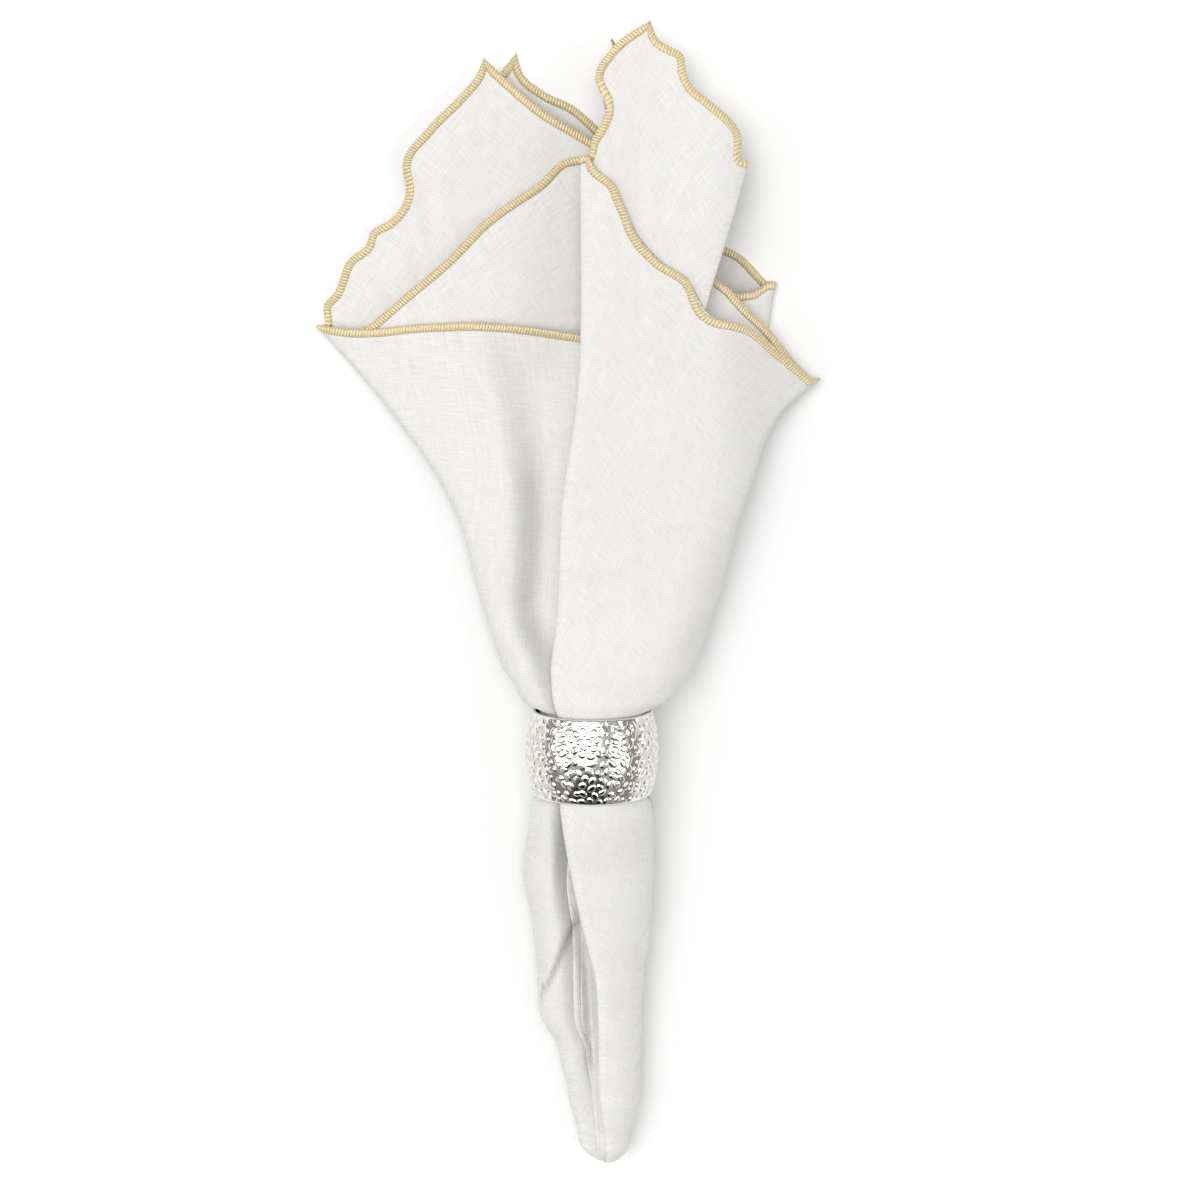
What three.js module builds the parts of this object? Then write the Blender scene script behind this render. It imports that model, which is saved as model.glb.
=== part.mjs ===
// A square linen napkin with a gold overlocked edge, drawn by its middle through a hammered napkin ring.
// It lies on a table. Z is up, the tail points along -Y and the four corners point along +Y.
// The origin is on the table, on the flat spot under the middle of the ring. Sizes are millimetres.
import * as THREE from "three";

// Driving sizes of the cloth
const SHEET = 1.0;
const TIP_SHEET = 0.6;
const TIP_DOME = 1;
const TIP_CRINKLE = 0.04;
const TIP_EVEN_LENGTH = 60;
const LAYER_COUNT = 18;
const LAYER_PITCH = 1.72;
const BUNDLE_RADIUS = 15.3;
const TIP_Y = -134.5;
const MOUTH_Y = 13.4;
const FLARE_Y = 27;
const FAN_Y = 46;
const CUT_EDGE_FELT = 110;

// Driving sizes of the gold border
const EDGE_WIDTH = 2.7;
const EDGE_THICKNESS = 1.0;
const EDGE_GAP = 0.3;
const WAVE_HEIGHT = 1.2;
const WAVE_LENGTHS = [24, 38];

// Driving sizes of the ring
const RING_OUTER = 20.5;
const RING_RIM = 18.4;
const RING_WALL = 1.4;
const RING_HALF_LENGTH = 13.1;
const RING_FLAT = 0.25;
const RING_SEGMENTS = 72;
const RING_ROWS = 8;
const DENT_DEPTH = 0.28;
const RING_AXIS_Z = RING_OUTER - RING_FLAT;

// How the cloth spreads: each row is a height along the bundle. middle and half are the middle and the
// half width across it, core and rise its middle height and half height. round is 1 where the bundle is
// round and 0 where its layers lie in a flat stack, and spread is how far a layer's end is felt by the
// layers over it.
const SECTIONS = [
  { y: TIP_Y, middle: 4.6, half: 6.4, core: 9.4, rise: 9.2, round: 1, spread: 2.5 },
  { y: -128, middle: 4.4, half: 9.6, core: 10.4, rise: 10.4, round: 1, spread: 2.5 },
  { y: -113, middle: 3.6, half: 11.5, core: 11, rise: 11, round: 1, spread: 2.7 },
  { y: -100, middle: 2.4, half: 13.2, core: 11.8, rise: 11.8, round: 1, spread: 3 },
  { y: -86, middle: -0.6, half: 16.4, core: 12.8, rise: 12.8, round: 1, spread: 3.2 },
  { y: -57, middle: -0.3, half: 18.6, core: 15, rise: 15, round: 1, spread: 3.6 },
  { y: -41, middle: -1.3, half: 20.6, core: 16, rise: 16, round: 1, spread: 3.6 },
  { y: -MOUTH_Y, middle: 0, half: BUNDLE_RADIUS, core: RING_AXIS_Z, rise: BUNDLE_RADIUS, round: 1, spread: 3.6 },
  { y: MOUTH_Y, middle: 0, half: BUNDLE_RADIUS, core: RING_AXIS_Z, rise: BUNDLE_RADIUS, round: 1, spread: 3.6 },
  { y: 18, middle: 2, half: 22.5, core: 19, rise: 18, round: 1, spread: 5 },
  { y: FLARE_Y, middle: 2.4, half: 30, core: 17.5, rise: 17, round: 0.7, spread: 7 },
  { y: 45, middle: 2, half: 36, core: 16, rise: 15.6, round: 0, spread: 14 },
  { y: 80, middle: 2, half: 47, core: 16, rise: 15.6, round: 0, spread: 20 },
  { y: 240, middle: 2, half: 80, core: 16, rise: 15.6, round: 0, spread: 26 },
];

// The stops round the cut edge, in order. side is 1 at a fold on the right, -1 on the left and 0 where
// the edge only turns. front and back are the layers that a fold joins, counted from the top; a turn has
// one layer. share is the place across the round bundle, low, mid and high are the places across at the
// FAN_LEVELS, x and y are the stop's own place on the cut edge, and step is the spacing of the mesh from
// this stop to the next.
const FAN_LEVELS = { low: 40, mid: 80, high: 105 };
const STOPS = [
  { name: "flap_left", side: -1, front: 0, back: 1, share: -0.64, low: -12, mid: -8.9, high: -6.2, x: -1.5, y: 180.6, step: 6 },
  { name: "flap_right", side: 1, front: 0, back: 7, share: 0.99, low: 36.6, mid: 48, high: 60, x: 70, y: 113, step: 8 },
  { name: "return_turn", side: 0, front: 7, share: 0.7, low: 27, mid: 34, high: 40, x: 42, y: 141, step: 10.5 },
  { name: "return_left", side: -1, front: 7, back: 8, share: -0.74, low: -22, mid: -17, high: -3, x: 4, y: 165, step: 10.5 },
  { name: "under_right", side: 1, front: 8, back: 9, share: 0.78, low: 27, mid: 33, high: 34, x: 30, y: 150, step: 10.5 },
  { name: "under_left", side: -1, front: 9, back: 10, share: -0.76, low: -24, mid: -20, high: -3, x: 6, y: 158, step: 10.5 },
  { name: "lower_right", side: 1, front: 10, back: 11, share: 0.8, low: 29, mid: 36, high: 37, x: 34, y: 170, step: 10.5 },
  { name: "hidden_corner", side: 0, front: 11, share: 0.4, low: 12, mid: 14, high: 13, x: 7.5, y: 215.7, step: 10.5 },
  { name: "inner_turn", side: 0, front: 11, share: 0.1, low: 4, mid: 2, high: 1, x: -1, y: 180.6, step: 6 },
  { name: "pocket_left", side: -1, front: 11, back: 12, share: -0.72, low: -29, mid: -41, high: -58, x: -70, y: 129, step: 10.5 },
  { name: "ruffle_right", side: 1, front: 12, back: 17, share: 0.99, low: 32, mid: 42, high: 50, x: 56, y: 142.5, step: 10.5 },
  { name: "back_corner", side: 0, front: 17, share: -0.2, low: -10, mid: -15, high: -18, x: -23, y: 211.5, step: 9 },
  { name: "back_left", side: -1, front: 16, back: 17, share: -0.62, low: -24, mid: -34, high: -38, x: -44, y: 185, step: 10.5 },
  { name: "back_right", side: 1, front: 15, back: 16, share: 0.64, low: 23, mid: 31, high: 32, x: 30, y: 158, step: 10.5 },
  { name: "pleat_left", side: -1, front: 14, back: 15, share: -0.74, low: -27, mid: -37, high: -44, x: -48, y: 175, step: 10.5 },
  { name: "pleat_right", side: 1, front: 13, back: 14, share: 0.76, low: 27, mid: 35, high: 36, x: 33, y: 161, step: 10.5 },
  { name: "left_corner", side: 0, front: 13, share: -0.4, low: -14, mid: -22, high: -27, x: -32.6, y: 209.8, step: 6 },
  { name: "far_left", side: -1, front: 6, back: 13, share: -0.99, low: -33, mid: -45.7, high: -63.5, x: -84.5, y: 129.2, step: 6.5 },
  { name: "tuck_right", side: 1, front: 5, back: 6, share: 0.72, low: 31, mid: 42, high: 43, x: 42, y: 124, step: 10.5 },
  { name: "tuck_left", side: -1, front: 4, back: 5, share: -0.42, low: -6, mid: -3, high: 0, x: 4, y: 140, step: 10.5 },
  { name: "gather_right", side: 1, front: 3, back: 4, share: 0.5, low: 28, mid: 38, high: 39, x: 38, y: 128, step: 10.5 },
  { name: "gather_left", side: -1, front: 2, back: 3, share: -0.25, low: -7, mid: -4, high: -1, x: 3, y: 150, step: 10.5 },
  { name: "panel_right", side: 1, front: 1, back: 2, share: 0.6, low: 20, mid: 30, high: 30, x: 49.5, y: 179.6, step: 7 },
  { name: "right_corner", side: 0, front: 1, share: 0.2, low: 4, mid: 8, high: 10, x: 17.4, y: 220.6, step: 7 },
];

// The front flap's left fold in the tail and the ring, where it runs its own way: each row is a height and
// a place across.
const FLAP_CONTOUR = [
  [TIP_Y, 4.3],
  [-128, 4.2],
  [-108, 2.6],
  [-85, 1.8],
  [-70, 0.8],
  [-58, -2.1],
  [-48, -4.3],
  [-27, -8.2],
  [-MOUTH_Y, -10],
  [MOUTH_Y, -10.4],
  [18, -11.8],
  [FLARE_Y, -12.6],
];

// Soft ridges on a layer that nothing covers there. Each row of a crest is a height and a place across.
const RIDGES = [
  { layer: 6, height: 5, width: 6.5, crest: [[49, -20], [65, -21], [84, -25], [106, -30], [140, -36]] },
];
const RIDGE_START = 12;

// Rows of the mesh: heights up to FAN_Y, then shares of the way from there to the cut edge.
const TAIL_ROWS = [TIP_Y, -122, -93, -50, -MOUTH_Y, MOUTH_Y, 18, 30, FAN_Y];
const FAN_ROWS = [0.26, 0.52, 0.77, 1];

// Forms of a fold: its depth across, and the turns at which the mesh has a column.
const CLOSE_FOLD = { room: 1.5, turns: [0] };
const WIDE_FOLD = { room: 2.6, turns: [Math.PI / 4, 0, -Math.PI / 4] };

const mix = (a, b, t) => a + (b - a) * t;
const clamp = (v, low, high) => Math.min(high, Math.max(low, v));

// The value of a table of [place, value] rows at a place: straight between rows and level beyond them.
function along(table, place) {
  const next = table.findIndex((row) => place <= row[0]);
  if (next === 0) return table[0][1];
  if (next < 0) return table.at(-1)[1];
  const [a, b] = [table[next - 1], table[next]];
  return mix(a[1], b[1], (place - a[0]) / (b[0] - a[0]));
}

// One column of SECTIONS at a height y, eased between the rows.
function section(y, key) {
  const next = SECTIONS.findIndex((row) => y <= row.y);
  if (next === 0) return SECTIONS[0][key];
  if (next < 0) return SECTIONS.at(-1)[key];
  const t = (y - SECTIONS[next - 1].y) / (SECTIONS[next].y - SECTIONS[next - 1].y);
  return mix(SECTIONS[next - 1][key], SECTIONS[next][key], t * t * (3 - 2 * t));
}

// How far across a stop lies at a height y.
function stopX(stop, y) {
  const gathered = (at) =>
    stop.name === "flap_left" ? along(FLAP_CONTOUR, at) : section(at, "middle") + stop.share * section(at, "half");
  if (y <= FLARE_Y) return gathered(y);
  const table = [[FLARE_Y, gathered(FLARE_Y)]];
  for (const [name, level] of Object.entries(FAN_LEVELS)) {
    if (level < stop.y - 5) table.push([level, stop[name]]);
  }
  table.push([stop.y, stop.x]);
  return along(table, y);
}

// Each layer's two folds, and its cut edge as [across, height] rows from left to right.
const layers = Array.from({ length: LAYER_COUNT }, () => ({ edge: [] }));
for (const stop of STOPS) {
  for (const index of stop.side === 0 ? [stop.front] : [stop.front, stop.back]) {
    layers[index].edge.push([stop.x, stop.y]);
    if (stop.side < 0) layers[index].left = stop;
    if (stop.side > 0) layers[index].right = stop;
  }
}
for (const layer of layers) layer.edge.sort((a, b) => a[0] - b[0]);

// 1 inside an edge, with a smooth fall outside it.
const fall = (inside, spread) => (inside >= 0 ? 1 : Math.exp(-((inside / spread) ** 2)));

// How much a layer lifts what lies over the point x, y.
function presence(layer, x, y) {
  const spread = section(y, "spread");
  const left = fall(x - stopX(layer.left, Math.min(y, layer.left.y)), spread);
  const right = fall(stopX(layer.right, Math.min(y, layer.right.y)) - x, spread);
  return left * right * fall(along(layer.edge, x) - y, CUT_EDGE_FELT);
}

// Height of the ridges of a layer over the point x, y.
function ridgeHeight(index, x, y) {
  let height = 0;
  for (const ridge of RIDGES.filter((row) => row.layer === index)) {
    const rise = clamp((y - ridge.crest[0][0] + RIDGE_START) / (2 * RIDGE_START), 0, 1);
    height += ridge.height * rise * Math.exp(-(((x - along(ridge.crest, y)) / ridge.width) ** 2));
  }
  return height;
}

// Height of the middle of a layer over x, y: the layers under it stacked, and squeezed to the bundle's
// round outline in the ring and in the tail. Near the tip the layers lie more evenly.
function layerHeight(index, x, y) {
  const even = clamp(1 - (y - TIP_Y) / TIP_EVEN_LENGTH, 0, 1);
  let under = 0;
  let all = 0;
  for (let j = LAYER_COUNT - 1; j > 0; j--) {
    const felt = mix(presence(layers[j], x, y), 1, even);
    all += felt;
    if (j > index) under += felt;
  }
  const rest = SHEET / 2;
  const flat = rest + LAYER_PITCH * under + ridgeHeight(index, x, y);
  const across = clamp((x - section(y, "middle")) / section(y, "half"), -1, 1);
  const bow = section(y, "rise") * Math.sqrt(1 - (0.95 * across) ** 2);
  const bottom = Math.max(rest, section(y, "core") - bow);
  const top = section(y, "core") + bow;
  const squeezed = bottom + ((top - bottom) * under) / Math.max(all, 1);
  return mix(flat, squeezed, section(y, "round"));
}

// The form of a fold: wide where it goes round other folds or shows in front, close elsewhere.
const formOf = (stop) => (stop.back - stop.front > 1 || stop.front < 2 ? WIDE_FOLD : CLOSE_FOLD);

// How far across the first column beside a stop stands in from it.
const roomIn = (stop) => (stop.side === 0 ? 0 : -stop.side * formOf(stop).room);

// The layer between two neighbouring stops.
function layerBetween(a, b) {
  if (a.side === 0) return a.front;
  if (b.side === 0) return b.front;
  return [a.front, a.back].find((index) => index === b.front || index === b.back);
}

// Columns of a fold: points on an arc from one of its layers to the other.
function foldColumns(stop, before) {
  const outward = stop.front % 2 === 0 ? 1 : -1;
  const turns = layerBetween(before, stop) === stop.front ? WIDE_FOLD.turns : [...WIDE_FOLD.turns].reverse();
  const form = formOf(stop);
  return turns
    .filter((turn) => form.turns.includes(turn))
    .map((turn) => ({
      from: stop,
      to: stop,
      share: 0,
      shift: -stop.side * form.room * (1 - Math.cos(turn)),
      push: [stop.side * outward * Math.cos(turn), outward * Math.sin(turn)],
      turn,
    }));
}

// Columns of the cloth between two stops. push is the direction, across and up, to the outer face.
function panelColumns(stop, next) {
  const layer = layerBetween(stop, next);
  const count = Math.max(4, Math.round(Math.hypot(next.x - stop.x, next.y - stop.y) / stop.step));
  const end = next.side === 0 ? count - 1 : count;
  return Array.from({ length: end + 1 }, (_, k) => ({
    from: stop,
    to: next,
    share: k / count,
    shift: mix(roomIn(stop), roomIn(next), k / count),
    push: [0, layer % 2 === 0 ? 1 : -1],
    layer,
  }));
}

// All columns of the mesh, in order round the cut edge, with the distance run along the edge.
const columns = STOPS.flatMap((stop, i) => {
  const before = STOPS[(i + STOPS.length - 1) % STOPS.length];
  const next = STOPS[(i + 1) % STOPS.length];
  return [...(stop.side === 0 ? [] : foldColumns(stop, before)), ...panelColumns(stop, next)];
});
columns.reduce((run, column, i) => {
  const place = (c) => [mix(c.from.x, c.to.x, c.share) + c.shift, mix(c.from.y, c.to.y, c.share)];
  const [a, b] = [place(column), place(columns[(i + 1) % columns.length])];
  column.run = run;
  return run + Math.hypot(b[0] - a[0], b[1] - a[1]);
}, 0);

// Waves of the cut edge, by the distance run along it.
function edgeWave(run) {
  const [short, long] = WAVE_LENGTHS.map((length) => Math.sin((2 * Math.PI * run) / length));
  return WAVE_HEIGHT * (0.6 * short + 0.4 * long);
}

// Place of a stop at a share v of the way from FAN_Y to the cut edge.
function fanPlace(stop, v) {
  const y = mix(FAN_Y, stop.y, v);
  return [stopX(stop, y), y];
}

// Middle of the sheet in a column, at a height y in the tail or at a share v of the way to the cut edge.
// inset draws the place back from the cut edge, along the column.
function middleOf(column, row, inset = 0) {
  let [x, y] = [mix(stopX(column.from, row.y), stopX(column.to, row.y), column.share), row.y];
  if (row.v !== undefined) {
    const [a, b] = [fanPlace(column.from, row.v), fanPlace(column.to, row.v)];
    x = mix(a[0], b[0], column.share);
    y = mix(a[1], b[1], column.share) + edgeWave(column.run) * row.v ** 6;
  }
  x += column.shift * Math.min(1, section(y, "half") / BUNDLE_RADIUS);
  if (inset > 0) {
    const back = middleOf(column, { v: row.v - 0.1 });
    const length = Math.hypot(x - back[0], y - back[1]);
    x += ((back[0] - x) * inset) / length;
    y += ((back[1] - y) * inset) / length;
  }
  if (column.turn === undefined) return [x, y, layerHeight(column.layer, x, y)];
  const front = layerHeight(column.from.front, x, y);
  const back = layerHeight(column.from.back, x, y);
  return [x, y, (front + back) / 2 + (Math.sin(column.turn) * (front - back)) / 2];
}

// Adds rings of points, all of one length, and the faces between each ring and the next.
function addSkin(positions, faces, rings, flip) {
  const at = rings.map((ring) => ring.map((point) => positions.push(point) - 1));
  for (let r = 0; r + 1 < at.length; r++) addBand(faces, at[r], at[r + 1], flip);
  return at;
}

// Adds the faces between two rings.
function addBand(faces, low, high, flip) {
  low.forEach((a, i) => {
    const j = (i + 1) % low.length;
    const [b, c, d] = [low[j], high[j], high[i]];
    faces.push(...(flip ? [a, c, b, a, d, c] : [a, b, c, a, c, d]));
  });
}

// A named mesh from points and faces.
function meshOf(name, positions, faces, look) {
  const geometry = new THREE.BufferGeometry();
  geometry.setAttribute("position", new THREE.Float32BufferAttribute(positions.flat(), 3));
  geometry.setIndex(faces);
  geometry.computeVertexNormals();
  const mesh = new THREE.Mesh(geometry, new THREE.MeshStandardMaterial(look));
  mesh.name = name;
  return mesh;
}

// How far a point of the tip's outline lies up from the tip, which is rounded.
function tipDome([x, , z]) {
  const across = (x - section(TIP_Y, "middle")) / section(TIP_Y, "half");
  const up = (z - section(TIP_Y, "core")) / section(TIP_Y, "rise");
  return TIP_DOME * (across ** 2 + up ** 2);
}

// The sheet's outer or inner face as rings of points, one for each row. way is 1 outside and -1 inside.
function sheetFace(way) {
  const rows = [...TAIL_ROWS.map((y) => ({ y })), ...FAN_ROWS.map((v) => ({ v }))];
  return rows.map((row, r) =>
    columns.map((column, i) => {
      const [x, y, z] = middleOf(column, row, row.v === 1 ? EDGE_WIDTH + EDGE_GAP : 0);
      const half = (way * mix(TIP_SHEET, SHEET, clamp((y - TIP_Y) / 40, 0, 1))) / 2;
      const at = [x + column.push[0] * half, y, Math.max(0, z + column.push[1] * half)];
      if (r === 0) {
        at[1] += tipDome(at) + (way < 0 ? SHEET : 0);
        at[2] += TIP_CRINKLE * (i % 2 === 0 ? 1 : -1);
      }
      return at;
    }),
  );
}

// The napkin: its outer and inner face, joined at the cut edge and capped at the tip.
function makeNapkin() {
  const positions = [];
  const faces = [];
  const outer = addSkin(positions, faces, sheetFace(1), false);
  const inner = addSkin(positions, faces, sheetFace(-1), true);
  addBand(faces, outer.at(-1), inner.at(-1), false);
  for (const [ring, flip] of [[outer[0], false], [inner[0], true]]) {
    const contour = ring.map((index) => new THREE.Vector2(positions[index][0], positions[index][2]));
    for (const [a, b, c] of THREE.ShapeUtils.triangulateShape(contour, [])) {
      faces.push(...(flip ? [ring[a], ring[c], ring[b]] : [ring[a], ring[b], ring[c]]));
    }
  }
  return meshOf("napkin", positions, faces, { color: 0xf3f0ea, roughness: 0.95, metalness: 0 });
}

// The gold border: a flat band that runs round the whole cut edge.
function makeGoldEdge() {
  const positions = [];
  const faces = [];
  const line = (way, inset) =>
    columns.map((column) => {
      const [x, y, z] = middleOf(column, { v: 1 }, inset);
      const half = (way * EDGE_THICKNESS) / 2;
      return [x + column.push[0] * half, y, Math.max(0, z + column.push[1] * half)];
    });
  const rings = [line(1, EDGE_WIDTH), line(1, 0), line(-1, 0), line(-1, EDGE_WIDTH)];
  const at = addSkin(positions, faces, rings, false);
  addBand(faces, at.at(-1), at[0], false);
  return meshOf("gold_edge", positions, faces, { color: 0xd6be78, roughness: 0.5, metalness: 0.4 });
}

// The ring: a barrel band with a hammered outer face and a flat spot where it rests.
function makeRing() {
  const positions = [];
  const faces = [];
  const circle = (y, wall, dented) =>
    Array.from({ length: RING_SEGMENTS }, (_, i) => {
      const angle = (2 * Math.PI * i) / RING_SEGMENTS;
      const dent = dented ? DENT_DEPTH * (0.5 + 0.5 * Math.sin(2.9 * i + 1.7 * y) * Math.cos(1.3 * i - 0.9 * y)) : 0;
      const radius = mix(RING_OUTER, RING_RIM, (y / RING_HALF_LENGTH) ** 2) - wall - dent;
      return [radius * Math.sin(angle), y, Math.max(0, RING_AXIS_Z + radius * Math.cos(angle))];
    });
  const outside = Array.from({ length: RING_ROWS + 1 }, (_, r) => {
    const y = mix(-RING_HALF_LENGTH, RING_HALF_LENGTH, r / RING_ROWS);
    return circle(y, 0, r > 0 && r < RING_ROWS);
  });
  const inside = [1, 0.4, -0.4, -1].map((share) => circle(share * RING_HALF_LENGTH, RING_WALL, false));
  const at = addSkin(positions, faces, [...outside, ...inside], false);
  addBand(faces, at.at(-1), at[0], false);
  return meshOf("napkin_ring", positions, faces, { color: 0xc9c8c4, roughness: 0.2, metalness: 1 });
}

const object = new THREE.Group();
object.add(makeNapkin(), makeGoldEdge(), makeRing());
export default object;
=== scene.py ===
"""A linen napkin with a gold overlocked edge, drawn by its middle through a hammered napkin ring.

It lies on a pale table and is seen from above. Lengths in the tables are millimetres; MM turns them
into metres.
"""
import math

import bpy
import numpy as np
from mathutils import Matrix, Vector


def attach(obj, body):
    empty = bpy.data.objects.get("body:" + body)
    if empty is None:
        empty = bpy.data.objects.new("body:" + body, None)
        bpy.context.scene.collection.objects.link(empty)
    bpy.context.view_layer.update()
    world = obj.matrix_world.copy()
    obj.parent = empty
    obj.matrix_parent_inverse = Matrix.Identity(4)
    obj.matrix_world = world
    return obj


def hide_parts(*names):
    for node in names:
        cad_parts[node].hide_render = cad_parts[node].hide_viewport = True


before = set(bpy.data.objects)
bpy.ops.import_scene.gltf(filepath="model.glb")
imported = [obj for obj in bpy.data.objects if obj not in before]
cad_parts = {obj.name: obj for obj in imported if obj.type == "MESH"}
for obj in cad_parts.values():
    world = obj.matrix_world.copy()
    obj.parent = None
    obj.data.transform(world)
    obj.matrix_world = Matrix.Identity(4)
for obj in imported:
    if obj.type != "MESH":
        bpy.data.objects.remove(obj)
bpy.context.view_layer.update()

MM = 0.001
TINY = 1e-6

# The cloth: its layers, their pitch and half their thickness; the bundle's radius in the ring, and how
# much of a half circle its outline follows from the middle to the sides; where the tail ends, the mouth
# begins and the fan's own lines take over; how far a layer's cut edge is felt over it; the stretch at the
# tip on which all layers come to lift alike; the length of the tip's dome and the least share of its
# outline that is kept; and the side of the flat napkin.
LAYER_COUNT = 18
LAYER_PITCH = 1.72
CLOTH_HALF = 0.5
BUNDLE_RADIUS = 16.2
BUNDLE_BOW = 0.95
TIP_Y = -136.3
MOUTH_Y = 12.9
FLARE_Y = 27
CUT_EDGE_FELT = 70
TIP_EVEN_LENGTH = 60
TIP_DOME = 6
TIP_LEAST = 0.01
NAPKIN_SIDE = 508

# The gold border: its width, its thickness, the points round it, how far it stays off the table, and how
# often its inward ways are smoothed.
EDGE_WIDTH = 2.5
EDGE_THICKNESS = 1.1
EDGE_POINTS = 10
EDGE_CLEARANCE = 0.02
EDGE_SMOOTHINGS = 3

# Small waves of the cut edge where none were measured: their height, and the lengths and shares of two
# sines. All waves fade with this power of the share of the way from FAN_Y to the cut edge.
WAVE_HEIGHT = 0.6
WAVE_LENGTHS = (24, 38)
WAVE_SHARES = (0.6, 0.4)
EDGE_WAVE_FADE = 19

# The ring: outer radius at its middle and at its rims, wall, half length, the flat that it rests on, the
# height of its axis and the way round it.
RING_OUTER = 20.5
RING_RIM = 18.4
RING_WALL = 1.4
RING_HALF_LENGTH = 13.1
RING_FLAT = 0.25
RING_AXIS_Z = RING_OUTER - RING_FLAT
RING_AROUND = 2 * math.pi * RING_OUTER

# How the cloth spreads along the bundle: the place along it, the middle and half width across, the middle
# height and half height, how round the bundle is, and how far a layer's end is felt by the layers over
# it.
SECTION_COLUMNS = ("y", "middle", "half", "core", "rise", "round", "spread")
SECTION_ROWS = (
    (TIP_Y, 4.0, 6.4, 8.8, 8.4, 1, 2.5),
    (-129, 3.8, 8.2, 9.6, 9.4, 1, 2.5),
    (-113, 3.6, 11.5, 11, 11, 1, 2.7),
    (-100, 2.4, 13.2, 11.8, 11.8, 1, 3),
    (-86, -0.6, 16.4, 12.8, 12.8, 1, 3.2),
    (-70, -0.5, 17.2, 14, 14, 1, 3.4),
    (-57, -0.3, 18.6, 15, 15, 1, 3.6),
    (-41, -1.3, 20.6, 16, 16, 1, 3.6),
    (-18, -0.2, 19.2, 19.4, 17.4, 1, 3.6),
    (-14, 0, 18, 20, 17.2, 1, 3.6),
    (-MOUTH_Y, 0, BUNDLE_RADIUS, RING_AXIS_Z, BUNDLE_RADIUS, 1, 3.6),
    (MOUTH_Y, 0, BUNDLE_RADIUS, RING_AXIS_Z, BUNDLE_RADIUS, 1, 3.6),
    (14, -0.1, 20.8, 20, 17.8, 1, 4.2),
    (18, 1.4, 24.5, 19, 18, 1, 5),
    (FLARE_Y, 1.7, 30.6, 17.5, 17, 0.7, 7),
    (45, 2, 36, 16, 15.6, 0, 14),
    (80, 2, 47, 16, 15.6, 0, 20),
    (240, 2, 80, 16, 15.6, 0, 26),
)
SECTIONS = {name: np.array(values, float) for name, values in zip(SECTION_COLUMNS, zip(*SECTION_ROWS))}

# The stops round the cut edge, in order: side is 1 at a fold on the right, -1 on the left and 0 where the
# edge only turns; front and back are the layers that a fold joins, counted from the top; share is the
# place across the round bundle; low, mid and high are the places across at FAN_LEVELS, used where they
# are more than LEVEL_MARGIN short of the stop; x and y are the stop's own place on the cut edge; shown is
# 1 where the cloth from this stop to the next is seen.
FAN_LEVELS = {"low": 40, "mid": 80, "high": 105}
LEVEL_MARGIN = 5
STOP_COLUMNS = ("name", "side", "front", "back", "share", "low", "mid", "high", "x", "y", "shown")
STOP_ROWS = (
    ("flap_left", -1, 0, 1, -0.64, -11, -8.7, -5, -3.4, 180.8, 1),
    ("flap_right", 1, 0, 7, 0.99, 36.6, 48, 60, 70, 113, 1),
    ("return_turn", 0, 7, 7, 0.7, 27, 34, 40, 42, 141, 0),
    ("return_left", -1, 7, 8, -0.74, -22, -17, -3, 4, 165, 0),
    ("under_right", 1, 8, 9, 0.78, 27, 33, 34, 30, 150, 0),
    ("under_left", -1, 9, 10, -0.76, -24, -20, -3, 6, 158, 0),
    ("lower_right", 1, 10, 11, 0.8, 29, 36, 37, 34, 170, 0),
    ("hidden_corner", 0, 11, 11, 0.4, 12, 14, 13, 6, 216.2, 1),
    ("inner_turn", 0, 11, 11, 0.1, 4, 2, 4, 7, 181, 1),
    ("pocket_left", -1, 11, 12, -0.72, -29, -41, -58, -70, 129, 0),
    ("ruffle_right", 1, 12, 17, 0.99, 32, 42, 50, 56, 142.5, 1),
    ("back_corner", 0, 17, 17, -0.2, -10, -15, -18, -23, 211.5, 1),
    ("back_left", -1, 16, 17, -0.62, -24, -34, -38, -44, 185, 0),
    ("back_right", 1, 15, 16, 0.64, 23, 31, 32, 30, 158, 0),
    ("pleat_left", -1, 14, 15, -0.74, -27, -37, -44, -48, 175, 0),
    ("pleat_right", 1, 13, 14, 0.76, 27, 35, 36, 33, 161, 1),
    ("left_corner", 0, 13, 13, -0.4, -14, -22, -27, -32.6, 209.8, 1),
    ("far_left", -1, 6, 13, -0.99, -33, -45.7, -63.5, -84.5, 129.2, 1),
    ("tuck_right", 1, 5, 6, 0.72, 31, 42, 43, 42, 124, 0),
    ("tuck_left", -1, 4, 5, -0.32, -6, -3, 0, 4, 140, 0),
    ("gather_right", 1, 3, 4, 0.5, 28, 38, 39, 38, 128, 0),
    ("gather_left", -1, 2, 3, -0.18, -7, -4, -1, 3, 150, 0),
    ("panel_right", 1, 1, 2, 0.6, 20, 29, 28.5, 46.8, 179.4, 1),
    ("right_corner", 0, 1, 1, 0.2, 4, 8, 10, 17.4, 220.6, 1),
)
STOPS = [dict(zip(STOP_COLUMNS, row)) for row in STOP_ROWS]
STOP_NAMES = [stop["name"] for stop in STOPS]
CORNERS = ("left_corner", "right_corner", "hidden_corner", "back_corner")

# The front flap's left fold in the tail: places along and across.
TAIL_CONTOUR = np.array([
    (TIP_Y, 4.3), (-128, 4.2), (-108, 2.1), (-85, 1.8), (-70, 0.8), (-58, -2.1), (-48, -4.3), (-27, -8.2),
    (-MOUTH_Y, -10), (MOUTH_Y, -10.4), (18, -11.8), (FLARE_Y, -12.6),
])

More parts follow.
